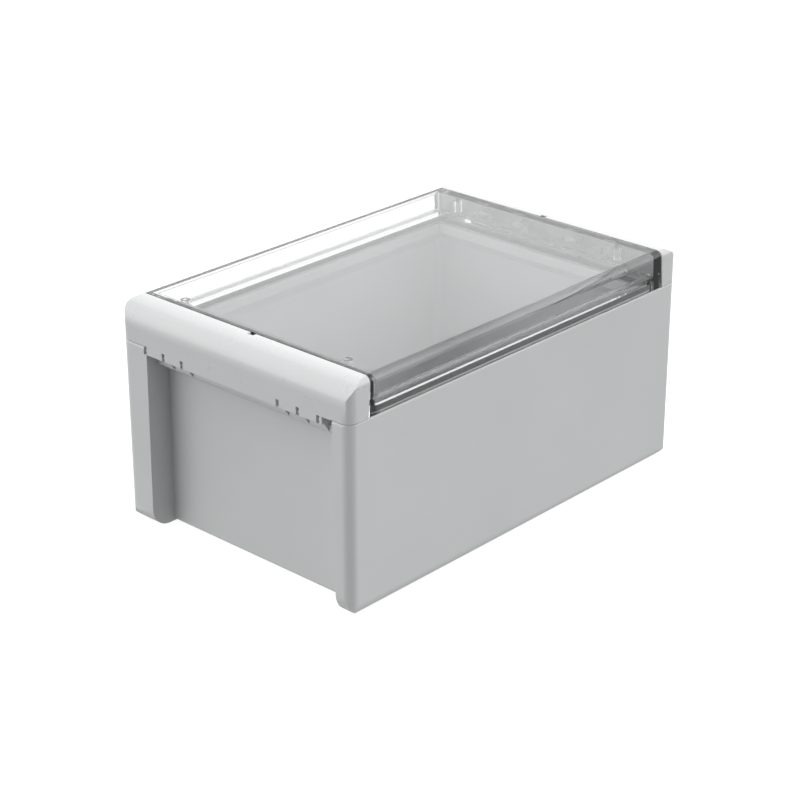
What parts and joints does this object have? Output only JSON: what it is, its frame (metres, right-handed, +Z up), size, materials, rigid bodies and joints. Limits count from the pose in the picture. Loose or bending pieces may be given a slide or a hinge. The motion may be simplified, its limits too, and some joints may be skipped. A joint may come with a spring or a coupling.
{
  "type": "hinged polycarbonate enclosure",
  "caption": "Rectangular wall-mount enclosure with a grey base, a clear sealed lid and two end strips that act as hinge and quick-release latch.",
  "frame": {"origin": "centre of the underside", "axes": "+X along the length towards the end that carries the lid hinge, +Y across the width, +Z up out of the lid"},
  "size_m": [0.271, 0.17, 0.132],
  "materials": {
    "base": "satin light grey moulded polycarbonate",
    "lid": "clear, lightly smoked polycarbonate",
    "gasket": "black foamed seal",
    "strip": "satin light grey moulded polycarbonate"
  },
  "bodies": {
    "base": {"base": "base"},
    "lid": {"lid": "lid", "lid_gasket": "gasket", "rear_strip": "strip"},
    "front_strip": {"front_strip": "strip"}
  },
  "joints": [
    {"name": "lid_hinge", "type": "hinge", "parent": "base", "child": "lid", "pos_m": [0.1331, 0, 0.1067], "axis": [0, 1, 0], "range_deg": [0, 100]},
    {"name": "front_strip_hinge", "type": "hinge", "parent": "base", "child": "front_strip", "pos_m": [-0.1331, 0, 0.1067], "axis": [0, -1, 0], "range_deg": [0, 100]}
  ]
}
